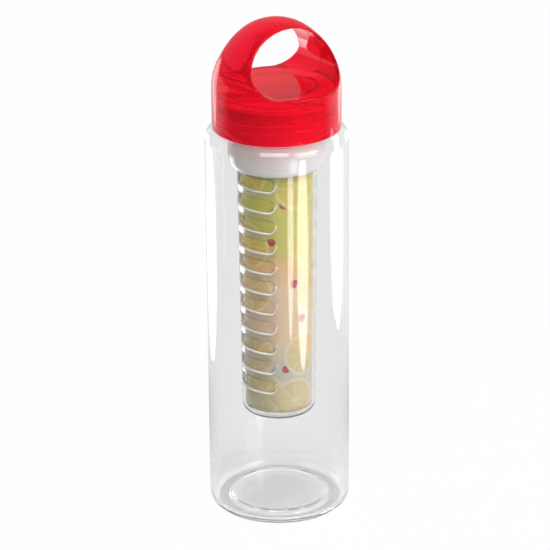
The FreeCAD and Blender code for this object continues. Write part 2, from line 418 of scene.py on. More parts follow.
def fruit_print(settings):
    """Generic fruit colours: slanted soft fields with round citrus slices in paler tones and berries."""
    material, tree = new_material("card_print")
    place = tree.place("UV")
    along = tree.node("ShaderNodeSeparateXYZ", None, {0: place})
    share_up = tree.other(along, "Y") / (card_high[2] - card_low[2])
    drift = tree.noise(place, 45.0)
    field = share_up + along * FIELD_SLANT + drift * FIELD_WANDER - FIELD_SHIFT
    fields = tree.node("ShaderNodeValToRGB", {"stops": [
        (0.02, settings.leaf), (0.14, settings.sage), (0.26, settings.sage), (0.34, settings.peach),
        (0.50, settings.peach), (0.57, settings.orange), (0.66, settings.lemon), (0.95, settings.lemon),
    ]}, {"Fac": field})
    flat = {"voronoi_dimensions": "2D"}
    spread = tree.node("ShaderNodeVectorMath", {"operation": "SCALE"}, {0: place, "Scale": 1 / SLICE_PITCH})
    scatter = {"Vector": spread, "Scale": 1.0, "Randomness": SLICE_SCATTER}
    slices = tree.node("ShaderNodeTexVoronoi", flat, scatter)
    middle = tree.other(slices, "Position")
    offset = tree.node("ShaderNodeVectorMath", {"operation": "SUBTRACT"}, {0: spread, 1: middle})
    across = tree.node("ShaderNodeSeparateXYZ", None, {0: offset})
    turn = across.math("ARCTAN2", tree.other(across, "Y"), across)
    spoke = tree.node("ShaderNodeMath", {"operation": "SINE"}, {0: turn * (SLICE_SPOKES / 2)})
    spoke = tree.node("ShaderNodeMath", {"operation": "ABSOLUTE"}, {0: spoke}) * slices
    disc = tree.smooth(slices, *RIND_EDGE)
    flesh = tree.smooth(slices, *FLESH_EDGE) * tree.smooth(spoke, *SPOKE_EDGE)
    pale = tree.mix(0.35, fields, rgba(settings.pith))
    juicy = tree.mix(0.45, fields, rgba(settings.juice))
    shade = tree.mix(disc, fields, pale)
    shade = tree.mix(flesh, shade, juicy)
    dots = tree.node("ShaderNodeTexVoronoi", flat, {"Vector": place, "Scale": 1 / BERRY_PITCH})
    berries = tree.smooth(dots, *BERRY_EDGE) * (1 - disc)
    finish_surface(tree, {
        "Base Color": tree.mix(berries, shade, rgba(settings.berry)),
        "Roughness": 0.5 + drift * 0.1,
        "Specular IOR Level": 0.15,
    })
    return material


def rounded_profile(corners):
    """Points of a profile from corners (radius, height, rounding), with a support point beside each arc."""
    points = []
    last = len(corners) - 1
    for index, (radius, height, rounding) in enumerate(corners):
        here = Vector((radius, height))
        if rounding == 0 or index in (0, last):
            points.append(here)
            continue
        to_before = (Vector(corners[index - 1][:2]) - here).normalized()
        to_after = (Vector(corners[index + 1][:2]) - here).normalized()
        half = to_before.angle(to_after) / 2
        reach = rounding / math.tan(half)
        centre = here + (to_before + to_after).normalized() * (rounding / math.sin(half))
        start = here + to_before * reach
        sweep = math.pi - 2 * half
        side = start - centre
        steps = max(2, math.ceil(math.degrees(sweep) / ARC_STEP_DEGREES))
        sense = 1 if to_before.x * to_after.y - to_before.y * to_after.x < 0 else -1
        points.append(start + to_before * min(SUPPORT, reach))
        for step in range(steps + 1):
            turn = Matrix.Rotation(sense * sweep * step / steps, 2)
            points.append(centre + turn @ side)
        points.append(here + to_after * (reach + min(SUPPORT, reach)))
    return [(point.x, point.y) for point in points]


def turned_mesh(profile, turns, bulge=None):
    """Grid of points and quads from a profile turned about Z. Bulge adds to a ring's radius by its turn."""
    rings = np.array(profile)
    turns = np.array(turns)
    around = len(turns)
    radius = np.repeat(rings[:, :1], around, axis=1)
    height = np.repeat(rings[:, 1:], around, axis=1)
    if bulge:
        radius = radius + bulge(radius, height, turns[None, :])
    points = np.stack([radius * np.cos(turns), radius * np.sin(turns), height], axis=-1).reshape(-1, 3)
    faces = []
    for ring in range(len(rings) - 1):
        here, after = ring * around, (ring + 1) * around
        for step in range(around):
            beside = (step + 1) % around
            faces.append((here + step, here + beside, after + beside, after + step))
    return points, faces


def ridge(turn, height, screw, phase=0.0):
    """Share of a screw ridge's full depth at a turn and height, fading out at both ends of the ridge."""
    share = np.zeros(np.broadcast(turn, height).shape)
    turns = screw["rise"] / screw["lead"]
    flank = (screw["root"] - screw["crest"]) / 2
    for start in range(screw["starts"]):
        past = ((turn - phase) / TURN - start / screw["starts"]) % 1.0
        for whole in range(math.ceil(turns) + 1):
            along = past + whole
            off = np.abs(height - screw["low"] - screw["lead"] * along)
            side = np.clip((screw["root"] / 2 - off) / flank, 0, 1)
            fade = np.clip(np.minimum(along, turns - along) / screw["run_out"], 0, 1)
            share = np.maximum(share, side * fade)
    return share


def thread_bulge(wall_radius, depth, screw, phase=0.0):
    """A bulge for turned_mesh that raises a screw ridge on the rings of one radius."""

    def bulge(radius, height, turn):
        on_wall = np.abs(radius - wall_radius) < WELD_DISTANCE
        return depth * ridge(turn, height, screw, phase) * on_wall

    return bulge


def link_object(name, data):
    """A new object in the scene for a mesh, light or camera."""
    made = bpy.data.objects.new(name, data)
    bpy.context.scene.collection.objects.link(made)
    return made


def add_piece(name, points, faces, materials, recalculate=True):
    """A welded, smooth-shaded object with its faces pointing outwards."""
    mesh = bpy.data.meshes.new(name)
    mesh.from_pydata([tuple(point) for point in points], [], faces)
    tidy_mesh(mesh, recalculate)
    for material in materials:
        mesh.materials.append(material)
    return link_object(name, mesh)


def tidy_mesh(mesh, recalculate=True):
    """Weld a mesh, turn its faces outwards where asked, and shade it smoothly."""
    work = bmesh.new()
    work.from_mesh(mesh)
    bmesh.ops.remove_doubles(work, verts=work.verts, dist=WELD_DISTANCE)
    if recalculate:
        bmesh.ops.recalc_face_normals(work, faces=work.faces)
    for face in work.faces:
        face.smooth = True
    work.to_mesh(mesh)
    work.free()


def set_piece(piece, body, node):
    """The piece rides on its body and stands for its node, which is hidden."""
    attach(piece, body)
    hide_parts(node)


class BOTTLE_OT_body(bpy.types.Operator):
    """Build the clear bottle with its threaded neck"""
    bl_idname = "bottle.body"
    bl_label = "Clear bottle"

    def execute(self, context):
        size = context.scene.bottle_settings
        wall_inner = size.body_radius - size.wall
        shoulder_under = size.shoulder - size.wall
        threaded_low = 208.8 * MM
        threaded_high = 222.0 * MM
        thread_heights = np.arange(threaded_low, threaded_high, THREAD_GRAIN)
        lip_edge = 0.6 * MM
        floor = 2.8 * MM
        step_radius = 24.2 * MM
        dome_under = [(0, 4.0 * MM, 0), (12 * MM, 3.4 * MM, 0), (18 * MM, 2.65 * MM, 0)]
        dome_floor = [(18 * MM, 5.4 * MM, 0), (12 * MM, 6.15 * MM, 0), (0, 6.8 * MM, 0)]
        corners = [
            *dome_under,
            (step_radius, 1.5 * MM, 3 * MM),
            (26.4 * MM, 0, 0.8 * MM),
            (size.body_radius, 0, 4.5 * MM),
            (size.body_radius, size.shoulder, 5 * MM),
            (size.neck_radius, size.shoulder, 1.2 * MM),
            *[(size.neck_radius, height, 0) for height in thread_heights],
            (size.neck_radius, size.rim, lip_edge),
            (size.bore, size.rim, lip_edge),
            (size.bore, shoulder_under, 0.8 * MM),
            (wall_inner, shoulder_under, 4.2 * MM),
            (wall_inner, floor, 2.5 * MM),
            (26 * MM, floor, 1.2 * MM),
            (step_radius, 4.5 * MM, 1.5 * MM),
            *dome_floor,
        ]
        bulge = thread_bulge(size.neck_radius, size.thread_depth, NECK_SCREW)
        points, faces = turned_mesh(rounded_profile(corners), BODY_TURNS, bulge)
        plastic = moulded_plastic("bottle_clear", size.plastic, BOTTLE_PASSED)
        piece = add_piece("clear_bottle", points, faces, [plastic])
        set_piece(piece, "bottle", "bottle_body")
        return {"FINISHED"}


def rounded_most(first, second, rounding):
    """Both of two fields, with their shared outer edge rounded."""
    inner = np.minimum(np.maximum(first, second), -rounding)
    return inner + np.hypot(np.maximum(first + rounding, 0), np.maximum(second + rounding, 0))


def rounded_least(first, second, rounding):
    """Either of two fields, with their shared inner edge filled to a radius."""
    return -rounded_most(-first, -second, rounding)


def dome_field(size, radius, height):
    """Distance outside the lid's band and dome."""
    spring = size.spring
    centre = size.radius - size.dome_arc
    crown_turn = math.acos((size.crown_start - centre) / size.dome_arc)
    crown_radius = size.crown_start / math.cos(crown_turn)
    crown_height = spring + (size.dome_arc - crown_radius) * math.sin(crown_turn)
    side = np.hypot(radius - centre, height - spring) - size.dome_arc
    crown = np.hypot(radius, height - crown_height) - crown_radius
    turn = np.arctan2(height - spring, radius - centre)
    dome = np.where(turn < crown_turn, side, crown)
    return np.where(height < spring, radius - size.radius, dome)


def tunnel_field(size, across, along, height):
    """Distance outside the sloped finger tunnel."""
    rise = height - size.plate
    level = along * math.sin(size.slope) + rise * math.cos(size.slope)
    across = np.abs(across)
    corner_radius = size.tunnel_corner
    corner_x = size.radius - size.leg - corner_radius
    tall = lid_high[2] - size.arch_top - size.plate
    top_radius = (tall + corner_x ** 2 / (tall - 2 * corner_radius)) / 2
    top_level = tall - top_radius
    join = math.atan2(corner_radius - top_level, corner_x)
    arch = np.hypot(across, level - top_level) - top_radius
    corner = np.hypot(across - corner_x, level - corner_radius) - corner_radius
    lower = np.where(across > corner_x, corner, -level)
    return np.where(np.arctan2(level - top_level, across) > join, arch, lower)


# The boss under the lid's plate, and the roundings of the lid's edges
BOSS_RADIUS = 21.5 * MM
BOSS_BORE = 19.5 * MM
BOSS_FOOT = 216 * MM
BOSS_ROOT = 1 * MM
BOSS_FILLET = 0.4 * MM
LID_FOOT_EDGE = 0.5 * MM
LID_CEILING_EDGE = 0.8 * MM
LID_FINE_EDGE = 0.3 * MM


def lid_field(size, x, y, z):
    """Distance outside the whole lid: dome, tunnel, threaded band and threaded boss."""
    radius = np.hypot(x, y)
    turn = np.arctan2(y, x)
    shell = rounded_most(dome_field(size, radius, z), size.foot - z, LID_FOOT_EDGE)
    arch = rounded_most(shell, -tunnel_field(size, x, y, z), size.mouth_radius)
    band_bore = size.bore - NECK_THREAD_DEPTH * ridge(turn, z, NECK_SCREW, HALF_PITCH)
    cavity = rounded_most(radius - band_bore, z - size.ceiling, LID_CEILING_EDGE)
    lid = rounded_most(arch, -cavity, LID_FINE_EDGE)
    boss_radius = BOSS_RADIUS + BOSS_THREAD_DEPTH * ridge(turn, z, BOSS_SCREW)
    boss = rounded_most(radius - boss_radius, BOSS_BORE - radius, LID_FINE_EDGE)
    boss = rounded_most(boss, BOSS_FOOT - z, LID_FINE_EDGE)
    boss = np.maximum(boss, z - size.ceiling - BOSS_ROOT)
    return rounded_least(lid, boss, BOSS_FILLET)


SKIN_PASSES = 5
SLOPE_STEP = 0.01 * MM
LEAST_SLOPE = 0.1


def field_slope(field, points):
    slope = np.empty_like(points)
    for axis in range(3):
        shift = np.zeros(3)
        shift[axis] = SLOPE_STEP
        slope[:, axis] = (field(*(points + shift).T) - field(*(points - shift).T)) / (2 * SLOPE_STEP)
    return slope


def crossing_sums(value, inside, cells):
    """Sums of the places where the surface crosses each cell's edges, in cells, and how many there are."""
    total = np.zeros(cells + (3,))
    hits = np.zeros(cells)
    for axis in range(3):
        others = [other for other in range(3) if other != axis]
        for corner in ((0, 0), (0, 1), (1, 0), (1, 1)):
            offset = [0, 0, 0]
            for other, step in zip(others, corner):
                offset[other] = step
            near = tuple(slice(o, o + n) for o, n in zip(offset, cells))
            offset[axis] = 1
            far = tuple(slice(o, o + n) for o, n in zip(offset, cells))
            crossed = inside[near] != inside[far]
            gap = np.where(crossed, value[near] - value[far], 1.0)
            hits += crossed
            total[..., axis] += crossed * (value[near] / gap)
            for other, step in zip(others, corner):
                total[..., other] += crossed * step
    return total, hits


def crossing_quads(inside, index):
    """A quad round every grid edge that the surface crosses, with its face outwards."""
    quads = []
    for axis in range(3):
        one, two = (axis + 1) % 3, (axis + 2) % 3
        near = [slice(None)] * 3
        far = [slice(None)] * 3
        near[axis] = slice(0, -1)
        far[axis] = slice(1, None)
        lower, upper = inside[tuple(near)], inside[tuple(far)]
        for leaving in (True, False):
            crossed = (lower & ~upper) if leaving else (upper & ~lower)
            place = np.stack(np.nonzero(crossed), axis=-1)
            ring = []
            for first, second in ((-1, -1), (0, -1), (0, 0), (-1, 0)):
                cell = place.copy()
                cell[:, one] += first
                cell[:, two] += second
                ring.append(index[tuple(cell.T)])
            quads.append(np.stack(ring if leaving else ring[::-1], axis=-1))
    return np.concatenate(quads)


def field_skin(field, low, high, grain):
    """Quads along the surface where a field is zero, with every point then moved on to that surface."""
    axes = [np.arange(start - 1.5 * grain, end + 2.5 * grain, grain) for start, end in zip(low, high)]
    value = field(*np.meshgrid(*axes, indexing="ij"))
    inside = value < 0
    cells = tuple(len(axis) - 1 for axis in axes)
    total, hits = crossing_sums(value, inside, cells)
    active = hits > 0
    index = np.full(cells, -1)
    index[active] = np.arange(active.sum())
    corner = np.stack(np.nonzero(active), axis=-1)
    start = np.array([axis[0] for axis in axes])
    points = start + grain * (corner + total[active] / hits[active][:, None])
    for _ in range(SKIN_PASSES):
        slope = field_slope(field, points)
        move = field(*points.T) / np.maximum((slope ** 2).sum(axis=1), LEAST_SLOPE)
        move = np.clip(move, -grain / 2, grain / 2)
        points = points - slope * move[:, None]
    slope = field_slope(field, points)
    normals = slope / np.linalg.norm(slope, axis=1)[:, None]
    return points, crossing_quads(inside, index), normals


class BOTTLE_OT_lid(bpy.types.Operator):
    """Build the red see-through lid with its finger arch and both threads"""
    bl_idname = "bottle.lid"
    bl_label = "Red lid"

    def execute(self, context):
        size = context.scene.lid_settings

        def field(x, y, z):
            return lid_field(size, x, y, z)

        points, faces, normals = field_skin(field, lid_low, lid_high, size.grain)
        mesh = bpy.data.meshes.new("red_lid")
        mesh.from_pydata(points.tolist(), [], faces.tolist())
        mesh.polygons.foreach_set("use_smooth", [True] * len(mesh.polygons))
        mesh.normals_split_custom_set_from_vertices(normals.tolist())
        plastic = moulded_plastic(
            "lid_red", size.plastic, LID_PASSED, LID_GLOSS, LID_TRANSMISSION, LID_ROUGHNESS
        )
        mesh.materials.append(plastic)
        piece = link_object("red_lid", mesh)
        set_piece(piece, "lid", "screw_lid")
        return {"FINISHED"}


class BOTTLE_OT_seal(bpy.types.Operator):
    """Build the silicone ring under the lid's ceiling"""
    bl_idname = "bottle.seal"
    bl_label = "Silicone seal"

    def execute(self, context):
        ring_width = 4.3 * MM
        edge = 0.4 * MM
        ceiling_edge = 0.7 * MM
        outer = gasket_high[0]
        inner = outer - ring_width
        low = gasket_low[2] + SEAT_GAP
        high = gasket_high[2] - SEAT_GAP
        middle = (low + high) / 2
        corners = [
            (outer, middle, 0), (outer, high, ceiling_edge), (inner, high, edge), (inner, low, edge),
            (outer, low, edge), (outer, middle, 0),
        ]
        points, faces = turned_mesh(rounded_profile(corners), BODY_TURNS)
        silicone = seal_silicone(context.scene.infuser_settings.seal)
        piece = add_piece("seal_ring", points, faces, [silicone])
        set_piece(piece, "gasket", "lid_gasket")
        return {"FINISHED"}


class BOTTLE_OT_collar(bpy.types.Operator):
    """Build the white threaded collar that holds the tube"""
    bl_idname = "bottle.collar"
    bl_label = "White collar"

    def execute(self, context):
        lower_bore = 21.0 * MM
        bore = 22.9 * MM
        lip_wall = 2.3 * MM
        taper_height = 3 * MM
        taper_bulge = 0.24 * MM
        taper_edge = 3 * MM
        edge = 0.4 * MM
        foot_edge = 0.3 * MM
        thread_margin = 0.8 * MM
        outer = collar_high[0]
        low = collar_low[2]
        high = collar_high[2] - SEAT_GAP
        middle = (low + high) / 2
        thread_heights = np.arange(high - thread_margin, FLANGE_SEAT + thread_margin, -THREAD_GRAIN)
        corners = [
            (outer, middle, 0), (outer, high, edge), (bore, high, edge),
            *[(bore, height, 0) for height in thread_heights],
            (bore, FLANGE_SEAT, edge), (lower_bore, FLANGE_SEAT, edge), (lower_bore, low, foot_edge),
            (lower_bore + lip_wall, low, foot_edge),
            (outer - taper_bulge, low + taper_height / 2, taper_edge),
            (outer, low + taper_height, taper_edge), (outer, middle, 0),
        ]
        bulge = thread_bulge(bore, -BOSS_THREAD_DEPTH, BOSS_SCREW, HALF_PITCH)
        points, faces = turned_mesh(rounded_profile(corners), BODY_TURNS, bulge)
        plastic = collar_plastic(context.scene.infuser_settings.collar)
        piece = add_piece("white_collar", points, faces, [plastic])
        set_piece(piece, "collar", "infuser_collar")
        return {"FINISHED"}


SLOT_STRAIGHT_STEPS = 16
SLOT_END_STEPS = 10
SLOT_SIDE_STEPS = 4
SLOT_LAYERS = 6
SLOT_RIM_RINGS = 5
SLOT_EDGE = 0.6 * MM

# Marks on a slot's lower edge, which gets a painted highlight, and on its upper edge, which gets painted
# shade, and the shares of its half height where they end and start
SILL_MARK = "on_sill"
SILL_TOP = 0.2
LINTEL_MARK = "on_lintel"
LINTEL_FOOT = 0.5


def between_points(first, second, steps):
    """Evenly spaced points from one place up to, but without, another."""
    (x, z), (far_x, far_z) = first, second
    return [(x + (far_x - x) * step / steps, z + (far_z - z) * step / steps) for step in range(steps)]


def slot_cell(size, wrap_radius):
    """One slot and the wall round it, laid flat: X along the wall, Y into it and Z up."""
    half_high = size.slot_height / 2
    straight = size.slot_span * wrap_radius / 2 - half_high
    cell_wide = math.pi / size.slot_columns * wrap_radius
    cell_high = size.slot_pitch / 2
    stops = [
        (-straight, cell_high), (straight, cell_high), (cell_wide, cell_high), (cell_wide, -cell_high),
        (straight, -cell_high), (-straight, -cell_high), (-cell_wide, -cell_high), (-cell_wide, cell_high),
    ]
    half_steps = [SLOT_STRAIGHT_STEPS, SLOT_END_STEPS, SLOT_SIDE_STEPS, SLOT_END_STEPS]
    frame_points = []
    for first, second, steps in zip(stops, stops[1:] + stops[:1], half_steps * 2):
        frame_points += between_points(first, second, steps)
    end_steps = 2 * SLOT_END_STEPS + SLOT_SIDE_STEPS

    def outline(grow):
        reach = half_high + grow
        points = []
        for side in (1, -1):
            start, end = (-side * straight, side * reach), (side * straight, side * reach)
            points += between_points(start, end, SLOT_STRAIGHT_STEPS)
            for step in range(end_steps):
                turn = side * math.pi / 2 - math.pi * step / end_steps
                points.append((side * straight + reach * math.cos(turn), reach * math.sin(turn)))
        return points

    def between(share):
        inner = outline(SLOT_EDGE)
        return [(a + (c - a) * share, b + (d - b) * share) for (a, b), (c, d) in zip(inner, frame_points)]

    deep = size.tube_wall
    soft = SLOT_EDGE * (1 - math.sqrt(0.5))
    rings = [(between(layer / SLOT_LAYERS), 0) for layer in range(SLOT_LAYERS, 0, -1)]
    rim_rings = range(len(rings), len(rings) + SLOT_RIM_RINGS)
    rings += [(outline(SLOT_EDGE), 0), (outline(soft), soft), (outline(0), SLOT_EDGE)]
    rings += [(outline(0), deep - SLOT_EDGE), (outline(soft), deep - soft), (outline(SLOT_EDGE), deep)]
    rings += [(between(layer / SLOT_LAYERS), deep) for layer in range(1, SLOT_LAYERS + 1)]
    around = len(frame_points)
    points = [(x, depth, z) for ring, depth in rings for x, z in ring]
    slot_heights = [z for x, z in outline(0)]
    faces = []
    marks = {SILL_MARK: [], LINTEL_MARK: []}
    for ring in range(len(rings) - 1):
        near, far = ring * around, (ring + 1) * around
        for step, height in enumerate(slot_heights):
            beside = (step + 1) % around
            faces.append((near + step, near + beside, far + beside, far + step))
            marks[SILL_MARK].append(ring in rim_rings and height < SILL_TOP * half_high)
            marks[LINTEL_MARK].append(ring in rim_rings and height > LINTEL_FOOT * half_high)
    top_places = sorted({round(x, 9) for x, z in frame_points if z == cell_high} | {cell_wide, -cell_wide})
    return points, faces, marks, top_places


def slot_tree(tube_plastic, rim_plastics):
    """Geometry nodes that repeat the slot cell in rows and columns and wrap them round the tapered tube."""
    group = bpy.data.node_groups.new("slot_columns", "GeometryNodeTree")
    tree = Tree(group)
    kinds = {
        "Cell": "NodeSocketGeometry", "Rows": "NodeSocketInt", "Columns": "NodeSocketInt",
        "Pitch": "NodeSocketFloat", "First Height": "NodeSocketFloat", "Wrap Radius": "NodeSocketFloat",
        "Foot Radius": "NodeSocketFloat", "Foot Height": "NodeSocketFloat", "Taper": "NodeSocketFloat",
        "Azimuth": "NodeSocketFloat",
    }
    keys = {}
    for name, kind in kinds.items():
        keys[name] = group.interface.new_socket(name=name, in_out="INPUT", socket_type=kind).identifier
    group.interface.new_socket(name="Tube", in_out="OUTPUT", socket_type="NodeSocketGeometry")
    given = tree.node("NodeGroupInput")
    inputs = {name: tree.other(given, name) for name in kinds}
    first = tree.node("ShaderNodeCombineXYZ", None, {"Z": inputs["First Height"]})
    step_up = tree.node("ShaderNodeCombineXYZ", None, {"Z": inputs["Pitch"]})
    rows = tree.node(
        "GeometryNodeMeshLine", None, {"Count": inputs["Rows"], "Start Location": first, "Offset": step_up}
    )
    column = tree.node("GeometryNodeInstanceOnPoints", None, {"Points": rows, "Instance": inputs["Cell"]})
    column = tree.node("GeometryNodeRealizeInstances", None, {0: column})
    apart = inputs["Wrap Radius"] * TURN / inputs["Columns"]
    step_round = tree.node("ShaderNodeCombineXYZ", None, {"X": apart})
    line = tree.node("GeometryNodeMeshLine", None, {"Count": inputs["Columns"], "Offset": step_round})
    wall = tree.node("GeometryNodeInstanceOnPoints", None, {"Points": line, "Instance": column})
    wall = tree.node("GeometryNodeRealizeInstances", None, {0: wall})
    place = tree.node("ShaderNodeSeparateXYZ", None, {0: tree.node("GeometryNodeInputPosition")})
    depth, height = tree.other(place, "Y"), tree.other(place, "Z")
    turn = place / inputs["Wrap Radius"] + inputs["Azimuth"]
    radius = inputs["Foot Radius"] + (height - inputs["Foot Height"]) * inputs["Taper"] - depth
    cosine = tree.node("ShaderNodeMath", {"operation": "COSINE"}, {0: turn})
    sine = tree.node("ShaderNodeMath", {"operation": "SINE"}, {0: turn})
    wrapped = tree.node("ShaderNodeCombineXYZ", None, {"X": radius * cosine, "Y": radius * sine, "Z": height})
    wall = tree.node("GeometryNodeSetPosition", None, {"Geometry": wall, "Position": wrapped})
    wall = tree.node("GeometryNodeMergeByDistance", None, {"Geometry": wall, "Distance": WELD_DISTANCE})
    wall = tree.node("GeometryNodeRealizeInstances", None, {0: wall})
    wall = tree.node("GeometryNodeSetMaterial", None, {"Geometry": wall, "Material": tube_plastic})
    for mark, plastic in rim_plastics.items():
        marked = tree.node("GeometryNodeInputNamedAttribute", {"data_type": "BOOLEAN"}, {"Name": mark})
        wall = tree.node(
            "GeometryNodeSetMaterial", None, {"Geometry": wall, "Selection": marked, "Material": plastic}
        )
    tree.node("NodeGroupOutput", None, {"Tube": wall})
    return group, keys


def tube_taper(size):
    """How much the tube's radius grows with height."""
    return (size.tube_top_radius - size.tube_foot_radius) / (FLANGE_SEAT - tube_low[2])


def tube_outside(size, height):
    """Outer radius of the tapered tube at a height."""
    return size.tube_foot_radius + (height - tube_low[2]) * tube_taper(size)


def tube_ends(size, low_edge, high_edge):
    """Profiles of the tube's closed foot, below the slotted wall, and of its flanged top, above it."""

    def outside(height):
        return tube_outside(size, height)

    def inside(height):
        return tube_outside(size, height) - size.tube_wall

    foot_edge = 4 * MM
    floor_edge = 2.4 * MM
    edge = 0.3 * MM
    foot = tube_low[2]
    floor = foot + size.tube_floor
    seat = FLANGE_SEAT + SEAT_GAP
    flange = tube_high[0]
    top = tube_high[2] - SEAT_GAP
    lower = rounded_profile([
        (inside(low_edge), low_edge, 0), (inside(floor), floor, floor_edge), (0, floor, 0),
    ]) + rounded_profile([
        (0, foot, 0), (size.tube_foot_radius, foot, foot_edge), (outside(low_edge), low_edge, 0),
    ])
    upper = rounded_profile([
        (outside(high_edge), high_edge, 0), (size.tube_top_radius, seat, edge),
        (flange, seat, edge), (flange, top, edge), (size.tube_top_radius - size.tube_wall, top, edge),
        (inside(high_edge), high_edge, 0),
    ])
    return lower, upper


def join_turned(mesh, profiles, turns):
    """Turn profiles about Z, weld them to a mesh and point all of its faces outwards."""
    work = bmesh.new()
    work.from_mesh(mesh)
    for profile in profiles:
        end = bpy.data.meshes.new("tube_end")
        points, faces = turned_mesh(profile, turns)
        end.from_pydata(points.tolist(), [], faces)
        work.from_mesh(end)
        bpy.data.meshes.remove(end)
    work.to_mesh(mesh)
    work.free()
    tidy_mesh(mesh)


def order_materials(mesh, plastics):
    """Put a mesh's materials in a set order, and the first of them where a face has none."""
    order = [plastics.index(material) if material in plastics else 0 for material in mesh.materials]
    places = [order[face.material_index] for face in mesh.polygons]
    mesh.materials.clear()
    for material in plastics:
        mesh.materials.append(material)
    mesh.polygons.foreach_set("material_index", places)


class BOTTLE_OT_tube(bpy.types.Operator):
    """Build the clear tapered tube with its columns of cross slots"""
    bl_idname = "bottle.tube"
    bl_label = "Slotted tube"

    def execute(self, context):
        size = context.scene.infuser_settings
        plastic = moulded_plastic("tube_clear", size.plastic, TUBE_PASSED)
        # Grey lintel plastic: painted shade on the slots' upper edges
        shaded_lintel_plastic = moulded_plastic("tube_lintel_painted_shade", size.lintel, LINTEL_PASSED)
        # White sill plastic: a painted highlight on the slots' lower edges
        rim_plastics = {SILL_MARK: sill_highlight_plastic(size.sill), LINTEL_MARK: shaded_lintel_plastic}
        first_middle = size.slot_low + size.slot_height / 2
        last_middle = first_middle + (size.slot_rows - 1) * size.slot_pitch
        wrap_radius = (size.tube_top_radius + size.tube_foot_radius) / 2
        points, faces, marks, places = slot_cell(size, wrap_radius)
        wall = add_piece("clear_tube", points, faces, [], recalculate=False)
        for name, marked in marks.items():
            wall.data.attributes.new(name, "BOOLEAN", "FACE").data.foreach_set("value", marked)
        group, keys = slot_tree(plastic, rim_plastics)
        modifier = wall.modifiers.new("slots", "NODES")
        modifier.node_group = group
        values = {
            "Rows": size.slot_rows, "Columns": size.slot_columns, "Pitch": size.slot_pitch,
            "First Height": first_middle, "Wrap Radius": wrap_radius, "Foot Radius": size.tube_foot_radius,
            "Foot Height": tube_low[2], "Taper": tube_taper(size), "Azimuth": size.slot_azimuth,
        }
        for name, value in values.items():
            modifier[keys[name]] = value
        evaluated = wall.evaluated_get(context.evaluated_depsgraph_get())
        slotted = bpy.data.meshes.new_from_object(evaluated)
        wall.modifiers.remove(modifier)
        turns = []
        for column in range(size.slot_columns):
            start = size.slot_azimuth + TURN * column / size.slot_columns
            turns += [start + place / wrap_radius for place in places[:-1]]
        half_pitch = size.slot_pitch / 2
        join_turned(slotted, tube_ends(size, first_middle - half_pitch, last_middle + half_pitch), turns)
        order_materials(slotted, [plastic, *rim_plastics.values()])
        wall.data = slotted
        set_piece(wall, "infuser", "infuser_tube")
        return {"FINISHED"}


CARD_STEPS = 120
CARD_ROWS = 48


class BOTTLE_OT_card(bpy.types.Operator):
    """Build the rolled printed card inside the tube"""
    bl_idname = "bottle.card"
    bl_label = "Rolled card"

    def execute(self, context):
        size = context.scene.card_settings
        tube = context.scene.infuser_settings
        low, high = card_low[2], card_high[2]

        def radius_at(height):
            return tube_outside(tube, height) - size.inset

        covered = TURN - size.seam_gap / radius_at(high)
        start = size.seam + (TURN - covered) / 2
        points = []
        places = []
        for depth in (0, size.thickness):
            for row in range(CARD_ROWS + 1):
                height = low + (high - low) * row / CARD_ROWS
                radius = radius_at(height) - depth
                for step in range(CARD_STEPS + 1):
                    past = covered * step / CARD_STEPS
                    points.append((radius * math.cos(start + past), radius * math.sin(start + past), height))
                    places.append((past * radius_at(high), height - low))
        wide = CARD_STEPS + 1
        sheet = wide * (CARD_ROWS + 1)

        def quad(side, row, step):
            first = side * sheet + row * wide + step
            ring = (first, first + 1, first + wide + 1, first + wide)
            return ring if side == 0 else ring[::-1]

        faces = [
            quad(side, row, step)
            for side in (0, 1) for row in range(CARD_ROWS) for step in range(CARD_STEPS)
        ]
        border = [row * wide for row in range(CARD_ROWS, 0, -1)]
        border += list(range(CARD_STEPS))
        border += [row * wide + CARD_STEPS for row in range(CARD_ROWS)]
        border += [CARD_ROWS * wide + step for step in range(CARD_STEPS, 0, -1)]
        for here, after in zip(border, border[1:] + border[:1]):
            faces.append((after, here, here + sheet, after + sheet))
        mesh = bpy.data.meshes.new("fruit_card")
        mesh.from_pydata(points, [], faces)
        layer = mesh.uv_layers.new(name="print")
        for loop in mesh.loops:
            layer.data[loop.index].uv = places[loop.vertex_index]
        printed = CARD_ROWS * CARD_STEPS
        for polygon in mesh.polygons:
            polygon.use_smooth = polygon.index < 2 * printed
            polygon.material_index = 0 if polygon.index < printed else 1
        mesh.materials.append(fruit_print(size))
        mesh.materials.append(paper_back(size.paper))
        piece = link_object("fruit_card", mesh)
        set_piece(piece, "infuser", "insert_roll")
        return {"FINISHED"}


def direction(azimuth, elevation):
    flat = math.cos(elevation)
    return Vector((flat * math.cos(azimuth), flat * math.sin(azimuth), math.sin(elevation)))


CAMERA_DISTANCE = 1.5729
CAMERA_TARGET = Vector((0, 0, 0.130))
CAMERA_AZIMUTH = math.radians(-124.0)
CAMERA_ELEVATION = math.radians(22.695)
CAMERA_ROLL = math.radians(-0.464)
CAMERA_LENS = 200.92
CAMERA_SHIFT = (-0.00505, -0.0137)
CAMERA_RIGHT = direction(CAMERA_AZIMUTH + math.pi / 2, 0)

# The floor: its greys, the grey of a painted shadow that it shows under the bottle through the glass, radii
# between which its masks fade, and how white each kind of ray finds it
FLOOR_GREYS = (0.80, 0.78)
SHADOW_GREY = 0.56
SHADOW_FADE = (0.03, 0.016)
UNDER_FADE = (0.09, 0.02)
FRONT_FADE = (0.03, 0.15)
FLOOR_BACK = (0.0, 0.25)
SEEN_WHITE = 0.96
THROUGH_WHITE = 0.55
UNDER_SHADE = 0.4
MIRRORED_WHITE = 0.92

# The studio's walls: what the light gains from the right and from above, and what gloss gains from behind
RIGHT_GAIN = 0.12
TOP_GAIN = 0.2
BACK_GAIN = 0.2
WALLS_BACK = (0.0, 0.8)
INWARD_SHADE = 0.8

LAMP_AIM_HEIGHT = 0.17


